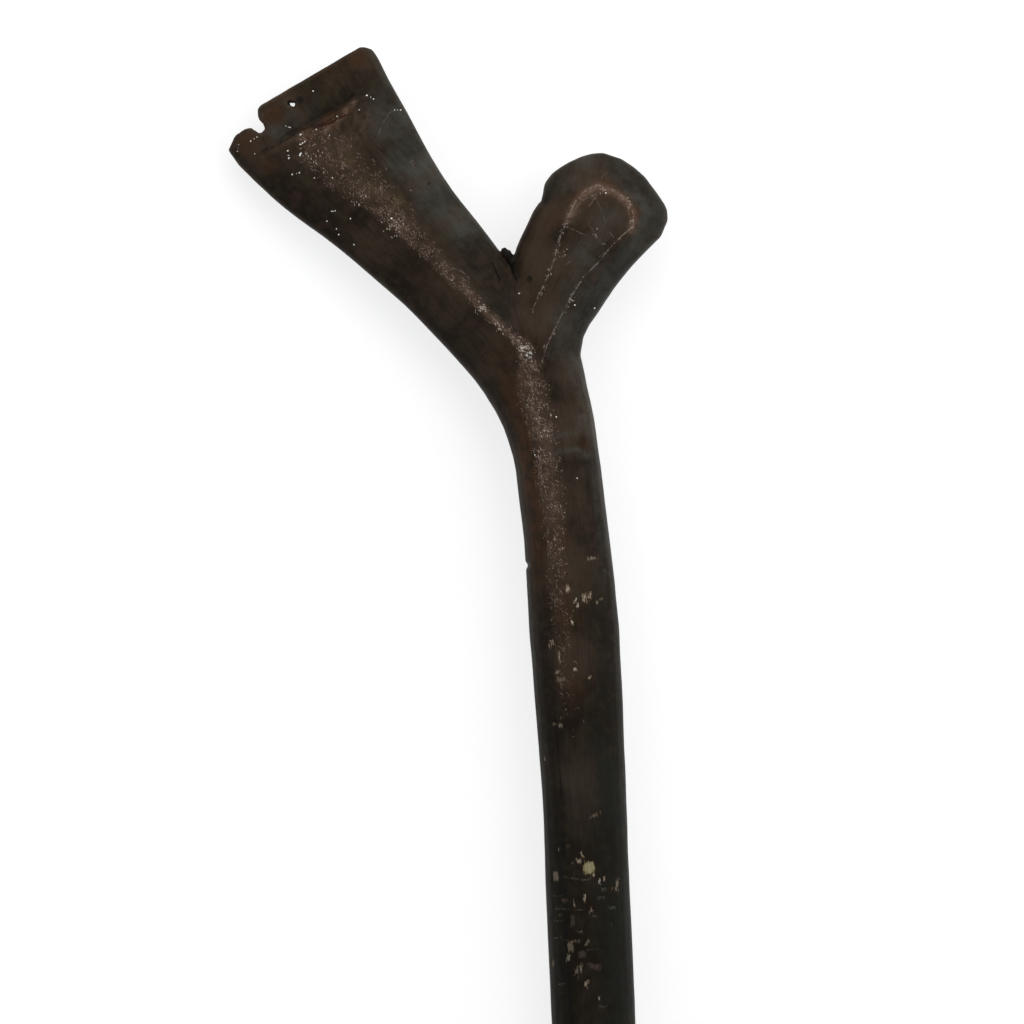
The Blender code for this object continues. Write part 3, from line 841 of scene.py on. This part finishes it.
class Graph:
    """Short ways to make shader nodes.  An input is a number, a colour, or another node's output."""

    def __init__(self, owner):
        owner.use_nodes = True
        self.tree = owner.node_tree
        self.tree.nodes.clear()

    def node(self, kind, inputs=None, **settings):
        made = self.tree.nodes.new(kind)
        for name, value in settings.items():
            setattr(made, name, value)
        for key, value in (inputs or {}).items():
            self.put(made.inputs[key], value)
        return made

    def put(self, socket, value):
        if isinstance(value, bpy.types.NodeSocket):
            self.tree.links.new(value, socket)
        elif isinstance(value, tuple) and socket.type == "RGBA":
            socket.default_value = (*value, 1.0)
        else:
            socket.default_value = value

    def math(self, operation, one, other=0.0):
        return self.node("ShaderNodeMath", {0: one, 1: other}, operation=operation).outputs[0]

    def chain(self, operation, values):
        result = values[0]
        for value in values[1:]:
            result = self.math(operation, result, value)
        return result

    def total(self, *terms):
        return self.chain("ADD", terms)

    def times(self, *factors):
        return self.chain("MULTIPLY", factors)

    def most(self, *values):
        return self.chain("MAXIMUM", values)

    def ramp(self, value, low, high, bottom=0.0, top=1.0):
        inputs = {"Value": value, "From Min": low, "From Max": high, "To Min": bottom, "To Max": top}
        return self.node("ShaderNodeMapRange", inputs, interpolation_type="SMOOTHSTEP").outputs[0]

    def mix(self, share, one, other, blend="MIX"):
        inputs = {0: share, 6: one, 7: other}
        return self.node("ShaderNodeMix", inputs, data_type="RGBA", blend_type=blend).outputs[2]

    def attribute(self, name, output="Fac"):
        return self.node("ShaderNodeAttribute", attribute_name=name).outputs[output]

    def over(self, vector, sizes):
        """A vector measured in features of a size, or of sizes in x, y and z; minus 1 mirrors it."""
        sizes = sizes if isinstance(sizes, tuple) else (sizes, sizes, sizes)
        return self.node("ShaderNodeVectorMath", {0: vector, 1: sizes}, operation="DIVIDE").outputs[0]

    def parts(self, vector):
        return self.node("ShaderNodeSeparateXYZ", {0: vector}).outputs

    def noise(self, vector, sizes, detail=3.0, roughness=0.5):
        scaled = self.over(vector, sizes)
        inputs = {"Vector": scaled, "Scale": 1.0, "Detail": detail, "Roughness": roughness}
        return self.node("ShaderNodeTexNoise", inputs).outputs[0]

    def cells(self, vector, size):
        """Random points about a size apart: the distance (mm) to the nearest, and a random number for it."""
        inputs = {"Vector": self.over(vector, size), "Scale": 1.0}
        made = self.node("ShaderNodeTexVoronoi", inputs)
        chance = self.node("ShaderNodeSeparateColor", {0: made.outputs["Color"]}).outputs[0]
        return self.times(made.outputs["Distance"], size), chance


def flecks(g, place, size, radius, share):
    """Sparse small dots of up to a radius; share says how many of the places have one."""
    distance, chance = g.cells(place, size)
    there = g.math("GREATER_THAN", share, chance)
    return g.times(g.ramp(distance, radius, 0.5 * radius), there)


def strokes(g, place, size, half_length, half_width, share, turn=0.0, spread=180.0):
    """Short straight marks about a size apart; share says how many of the places have one.

    They lie along Y turned clockwise by an angle from turn to turn + spread degrees.
    """
    scaled = g.over(place, size)
    cell = g.node("ShaderNodeTexVoronoi", {"Vector": scaled, "Scale": 1.0})
    ends = {0: scaled, 1: cell.outputs["Position"]}
    way = g.node("ShaderNodeVectorMath", ends, operation="SUBTRACT").outputs[0]
    chance = g.node("ShaderNodeSeparateColor", {0: cell.outputs["Color"]}).outputs
    inputs = {"Vector": way, "Angle": g.total(g.times(chance[1], math.radians(spread)), math.radians(turn))}
    turned = g.node("ShaderNodeVectorRotate", inputs, rotation_type="Z_AXIS").outputs[0]
    across, along, _ = g.parts(turned)
    thin = g.ramp(g.math("ABSOLUTE", across), half_width / size, 0.3 * half_width / size)
    short = g.ramp(g.math("ABSOLUTE", along), half_length / size, 0.5 * half_length / size)
    return g.times(thin, short, g.math("GREATER_THAN", share, chance[0]))


def line(g, name):
    """1 on the thin lines that an attribute keeps."""
    share, distance, _ = g.parts(g.attribute(name, "Vector"))
    return g.times(g.ramp(g.math("ABSOLUTE", share), 1.2, 0.3), g.ramp(distance, 1.4, 1.0))


def placed_specks(g, place):
    """1 on the placed white specks."""
    across, along, distance = g.parts(g.attribute("speck", "Vector"))
    reach = g.math("SQRT", g.total(g.times(across, across), g.times(along, along)))
    uneven = g.times(g.total(g.noise(place, 0.7, 2.0), -0.5), 2.2)
    return g.times(g.ramp(g.total(reach, uneven), 0.9, 0.4), g.ramp(distance, 2.4, 1.8))


def hardwood():
    """Old dark hardwood: near-black skin from handling, brown where thin, rubbed and chipped in places, with
    painted shade, glints and grey sheen.
    """
    material = bpy.data.materials.new("dark_hardwood")
    g = Graph(material)
    place = g.node("ShaderNodeTexCoord").outputs["Object"]
    place = g.node("ShaderNodeVectorMath", {0: place, "Scale": 1.0 / MM}, operation="SCALE").outputs[0]
    grain = g.attribute("grain", "Vector")
    across, along, _ = g.parts(grain)

    broad = g.noise(grain, (14.0, 40.0, 14.0), 3.0, 0.55)
    mottle = g.noise(place, 6.5, 4.0, 0.6)
    stain = g.noise(g.over(place, (-1.0, 1.0, 1.0)), 9.0, 3.0, 0.55)
    fibre = g.noise(grain, (1.3, 14.0, 1.3), 4.0, 0.6)
    pores = g.noise(grain, (0.5, 6.0, 0.5), 2.0, 0.5)
    grime = g.noise(place, 1.9, 4.0, 0.65)

    worn = g.attribute("worn")
    glint_share = g.attribute("glint_share")
    rubbed = g.attribute("rubbed")

    head = g.ramp(along, 560.0, 830.0)
    # How thin the dark skin is: noise, lighter towards the head, and the tone marks, which carry painted shade
    # on the flanks.
    thin = g.total(
        g.times(broad, 0.65), g.times(mottle, 0.55), g.times(fibre, 0.25), g.times(head, 0.22),
        g.attribute("tone_and_shade"), -0.60,
    )
    brown = g.mix(g.ramp(along, 760.0, 600.0, 0.0, 0.75), BROWN_SKIN, TAUPE_SKIN)
    colour = g.mix(g.ramp(thin, 0.10, 0.95), DARK_SKIN, brown)
    colour = g.mix(g.ramp(stain, 0.50, 0.68, 0.0, 0.45), colour, OLIVE_SKIN)
    rosy = g.times(g.ramp(stain, 0.48, 0.30, 0.0, 0.35), g.ramp(along, 600.0, 760.0))
    colour = g.mix(rosy, colour, ROSE_SKIN)
    green = g.times(g.ramp(along, 800.0, 620.0), g.ramp(g.total(mottle, broad), 0.82, 1.15, 0.20, 1.0))
    colour = g.mix(g.times(green, g.ramp(across, -4.0, 15.0)), colour, GREEN_SKIN)
    # Moss green darkened by painted shade down the left of the shaft.
    colour = g.mix(g.times(green, g.ramp(across, -9.0, -18.0, 0.0, 0.85)), colour, SHADED_MOSS_SKIN)
    streak = g.math("ABSOLUTE", g.total(across, g.times(mottle, 6.0), g.times(broad, 4.0), 7.0))
    streak = g.times(
        g.ramp(streak, 3.6, 0.6), g.ramp(along, 690.0, 600.0), g.ramp(fibre, 0.62, 0.40, 0.20, 0.80),
    )
    colour = g.mix(streak, colour, DIRT_AND_SHADE)
    # The painted grey reflection of the lights.
    grey = g.mix(g.ramp(thin, 0.20, 1.00), DARK_GREY_SHEEN, GREY_SHEEN)
    colour = g.mix(g.times(g.attribute("grey"), g.ramp(mottle, 0.25, 0.60, 0.2, 0.8)), colour, grey)
    yellow = g.times(g.attribute("olive"), g.ramp(mottle, 0.35, 0.60, 0.1, 0.8))
    colour = g.mix(yellow, colour, YELLOW_SKIN)
    red = g.times(g.attribute("red"), g.ramp(g.total(mottle, g.times(fibre, 0.4)), 0.35, 0.85))
    colour = g.mix(red, colour, RED_WOOD)
    colour = g.mix(g.times(g.attribute("smear"), g.ramp(grime, 0.35, 0.62, 0.10, 0.75)), colour, SMEAR)
    colour = g.mix(g.times(worn, g.ramp(mottle, 0.25, 0.70, 0.17, 0.46)), colour, RUBBED_WOOD)
    colour = g.mix(g.ramp(fibre, 0.60, 0.38, 0.0, 0.12), colour, DIRT_AND_SHADE)
    colour = g.mix(g.ramp(pores, 0.38, 0.26, 0.0, 0.30), colour, DIRT_AND_SHADE)
    # Rubbed wood: the tongue's end, worn edges, and the step's shoulder, which also gets a painted highlight.
    colour = g.mix(g.times(rubbed, g.ramp(grime, 0.30, 0.56, 0.1, 0.90)), colour, RUBBED_WOOD)

    patchy = g.ramp(g.noise(place, 5.0, 2.0, 0.6), 0.40, 0.62)
    pitted = strokes(g, g.over(place, (-1.0, -1.0, 1.0)), 1.5, 0.9, 0.30, g.times(worn, 0.9))
    colour = g.mix(g.times(pitted, g.ramp(grime, 0.65, 0.35, 0.1, 0.65)), colour, DIRT_AND_SHADE)
    # Fine marks on the worn crest: rubbed scratches with painted glints.
    dense = g.times(worn, patchy, 1.2)
    fine = g.most(
        strokes(g, place, 1.7, 1.1, 0.22, dense, -60.0, 60.0),
        strokes(g, g.over(place, (-1.0, 1.0, 1.0)), 1.2, 0.7, 0.22, dense),
        strokes(g, g.over(place, (1.0, -1.0, -1.0)), 2.8, 1.9, 0.22, g.times(worn, 0.6), 0.0, 70.0),
    )
    colour = g.mix(g.times(fine, g.ramp(grime, 0.35, 0.62, 0.15, 0.80)), colour, BRUISE_AND_GLINT)
    # Painted glints on the crest and along the tongue's edges.
    glints = g.most(
        strokes(g, g.over(place, (1.0, -1.0, 1.0)), 1.3, 0.8, 0.28, g.times(glint_share, patchy, 1.3), 0.0, 70.0),
        flecks(g, place, 1.15, 0.36, g.times(glint_share, 0.6)),
        flecks(g, g.over(place, (-1.0, -1.0, 1.0)), 1.7, 0.36, g.times(worn, patchy, 0.28)),
    )
    colour = g.mix(glints, colour, PALE_WEAR_AND_GLINT)
    # Bare pale wood with a painted highlight where the glints gather most.
    bare_and_glint = g.times(g.ramp(glint_share, 0.75, 1.30), g.ramp(g.total(grime, g.times(fibre, 0.3)), 0.63, 0.72))
    colour = g.mix(bare_and_glint, colour, BARE_AND_GLINT_WHITE)
    # Painted shade in grooves, dents and the crotch, and at the step's foot, with dirt and stains.
    shade_and_dirt = g.total(g.attribute("shade_and_dirt"), g.times(g.total(grime, -0.5), 0.9))
    shaded_and_dirty = g.times(g.ramp(shade_and_dirt, 0.15, 0.9, 0.0, 0.85), g.ramp(g.attribute("shade_and_dirt"), 0.02, 0.2))
    colour = g.mix(shaded_and_dirty, colour, DIRT_AND_SHADE)

    broken = g.noise(place, 2.4, 3.0, 0.6)
    scratch = g.times(
        line(g, "scratch"), g.ramp(broken, 0.42, 0.62, 0.05, 1.0), g.ramp(grime, 0.35, 0.60, 0.4, 1.0),
    )
    colour = g.mix(g.times(scratch, 0.24), colour, PALE_WEAR_AND_GLINT)
    # The tongue's edges: a pale line of worn wood and painted highlight, and painted glints beside it.
    _, beside, edge_glint_share = g.parts(g.attribute("arris", "Vector"))
    edge_glint_share = g.times(edge_glint_share, g.ramp(beside, 2.0, 0.3), g.ramp(broken, 0.46, 0.62))
    arris = g.most(
        g.times(line(g, "arris"), g.ramp(broken, 0.44, 0.60, 0.08, 0.65)),
        g.times(strokes(g, place, 1.4, 1.2, 0.34, edge_glint_share, 10.0, 50.0), g.ramp(grime, 0.35, 0.60, 0.3, 1.0)),
    )
    colour = g.mix(g.times(arris, 0.60), colour, PALE_WEAR_AND_GLINT)
    crack = line(g, "crack")
    crack_colour = g.mix(g.parts(g.attribute("crack", "Vector"))[2], DIRT_AND_SHADE, CRACK_RED)
    colour = g.mix(g.times(crack, g.ramp(broken, 0.34, 0.50, 0.35, 1.0)), colour, crack_colour)

    ragged = g.total(
        g.attribute("chip_edge"),
        g.times(g.total(g.noise(grain, (0.55, 3.0, 0.55), 3.0), -0.5), 3.6),
        g.times(g.total(g.noise(place, 1.5, 2.0), -0.5), 1.6),
    )
    chip = g.ramp(ragged, 0.06, -0.10)
    fresh = g.attribute("chip_wood", "Vector")
    fresh = g.mix(g.ramp(fibre, 0.60, 0.35, 0.0, 0.5), fresh, CHIP_GRAIN, "MULTIPLY")
    fresh = g.mix(g.ramp(ragged, -0.75, -0.10, 0.0, 0.85), fresh, CHIP_RIM, "MULTIPLY")
    colour = g.mix(chip, colour, fresh)
    stray = flecks(g, place, 5.0, 0.50, g.times(g.attribute("stray_flecks"), 0.05))
    white = g.most(placed_specks(g, place), stray)
    colour = g.mix(white, colour, WHITE_FLECK)
    shade = g.ramp(along, 520.0, 860.0, SHAFT_SHADE, 1.0)
    shade = g.node("ShaderNodeCombineColor", {index: shade for index in range(3)}).outputs[0]
    colour = g.mix(1.0, colour, shade, "MULTIPLY")

    roughness = g.total(0.40, g.times(grime, 0.20), g.times(chip, 0.30), g.times(rubbed, 0.05))
    height = g.total(
        g.times(fibre, 0.05), g.times(g.ramp(pores, 0.25, 0.45), 0.015), g.times(mottle, 0.35),
        g.times(grime, 0.08), g.times(fine, 0.05), g.times(glints, 0.06), g.times(white, 0.05),
        g.times(scratch, -0.05), g.times(arris, 0.05), g.times(crack, -0.25), g.times(chip, -0.14),
    )
    bump = g.node("ShaderNodeBump", {"Strength": 1.0, "Distance": MM, "Height": height})
    shader = g.node("ShaderNodeBsdfPrincipled", {
        "Base Color": colour, "Roughness": roughness, "Normal": bump.outputs[0], "Specular IOR Level": 0.05,
    })
    g.node("ShaderNodeOutputMaterial", {"Surface": shader.outputs[0]})
    return material


# ---- Stage, light and camera ----

FLOOR_SIZE = 60.0           # metres, so that its far edge is near the horizon
FLOOR_LEVEL = -0.6 * MM     # just under the lowest point of the tool marks
FLOOR_WHITE = (0.38, 0.385, 0.38)
FLOOR_GLOW = 0.735          # the floor is lit from below as well, as in a white product booth
FAR_GLOW = 0.865            # and more so beyond the reach of the lights, so that it stays even
LIT_REACH = (1.8, 3.0)      # metres from the middle over which the lights give out
SKY = (0.95, 0.98, 1.0)
HORIZON = 0.95              # brightness of the booth's walls, and of its ceiling
CEILING = 0.20

FRAME_CENTRE = Vector((0.0259, 0.2705, 0.022))      # what the camera looks straight down on
FRAME_WIDTH = 0.553
CAMERA_TURN = math.radians(-2.9)
CAMERA_HEIGHT = 4.0
SENSOR = 36.0


class Softbox(NamedTuple):
    """An area light: its place, what it points at, its width and height, power and colour."""

    name: str
    at: tuple
    aim: tuple
    size: tuple
    watts: float
    colour: tuple = (1.0, 1.0, 1.0)


SOFTBOXES = [
    Softbox("key", (0.30, 1.90, 1.20), (0.0, 0.35, 0.0), (2.2, 1.4), 19.5, (1.0, 0.98, 0.95)),
    Softbox("right", (1.60, 0.50, 1.30), (0.0, 0.30, 0.0), (1.6, 2.4), 22.0, (0.97, 0.99, 1.0)),
    Softbox("left", (-1.60, 0.30, 1.30), (0.0, 0.20, 0.0), (1.6, 2.4), 13.0, (0.97, 0.99, 1.0)),
]


def floor():
    material = bpy.data.materials.new("white_floor")
    g = Graph(material)
    place = g.node("ShaderNodeTexCoord").outputs["Object"]
    way = g.node("ShaderNodeVectorMath", {0: place}, operation="LENGTH").outputs["Value"]
    glow = g.ramp(way, *LIT_REACH, FLOOR_GLOW, FAR_GLOW)
    shader = g.node("ShaderNodeBsdfPrincipled", {
        "Base Color": FLOOR_WHITE, "Roughness": 0.9, "Specular IOR Level": 0.1,
        "Emission Color": (1.0, 1.0, 1.0), "Emission Strength": glow,
    })
    g.node("ShaderNodeOutputMaterial", {"Surface": shader.outputs[0]})
    bpy.ops.mesh.primitive_plane_add(size=FLOOR_SIZE, location=(0.0, 0.0, FLOOR_LEVEL))
    plane = bpy.context.object
    plane.name = "floor"
    plane.data.materials.append(material)


def sky():
    """White walls under a dark ceiling."""
    world = bpy.data.worlds.new("studio")
    g = Graph(world)
    up = g.parts(g.node("ShaderNodeTexCoord").outputs["Generated"])[2]
    strength = g.ramp(up, 0.06, 0.35, HORIZON, CEILING)
    background = g.node("ShaderNodeBackground", {"Color": SKY, "Strength": strength})
    g.node("ShaderNodeOutputWorld", {"Surface": background.outputs[0]})
    bpy.context.scene.world = world


def light(box):
    lamp = bpy.data.lights.new(box.name, "AREA")
    lamp.shape = "RECTANGLE"
    lamp.size, lamp.size_y = box.size
    lamp.energy = box.watts
    lamp.color = box.colour
    holder = new_object(box.name, lamp)
    holder.location = box.at
    holder.rotation_euler = (Vector(box.aim) - Vector(box.at)).to_track_quat("-Z", "Y").to_euler()
    holder.visible_camera = False


def camera():
    lens = bpy.data.cameras.new("camera")
    lens.sensor_width = SENSOR
    lens.lens = SENSOR * CAMERA_HEIGHT / FRAME_WIDTH
    lens.clip_end = 50.0
    holder = new_object("camera", lens)
    holder.location = FRAME_CENTRE + Vector((0.0, 0.0, CAMERA_HEIGHT))
    holder.rotation_euler = (0.0, 0.0, CAMERA_TURN)
    bpy.context.scene.camera = holder


# ---- Putting it together ----

def make_club():
    club = fine_copy("club", "carved_club", CROTCH_LUMPS)
    skin = Skin(club.data)
    path, edge, wood = carve(skin)
    store_looks(skin, path, edge, wood)
    club.data.shade_smooth()
    club.data.materials.append(hardwood())
    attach(club, "root")
    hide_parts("club")


camera()
make_club()
floor()
sky()
for softbox in SOFTBOXES:
    light(softbox)
bpy.context.scene.view_settings.view_transform = "Standard"
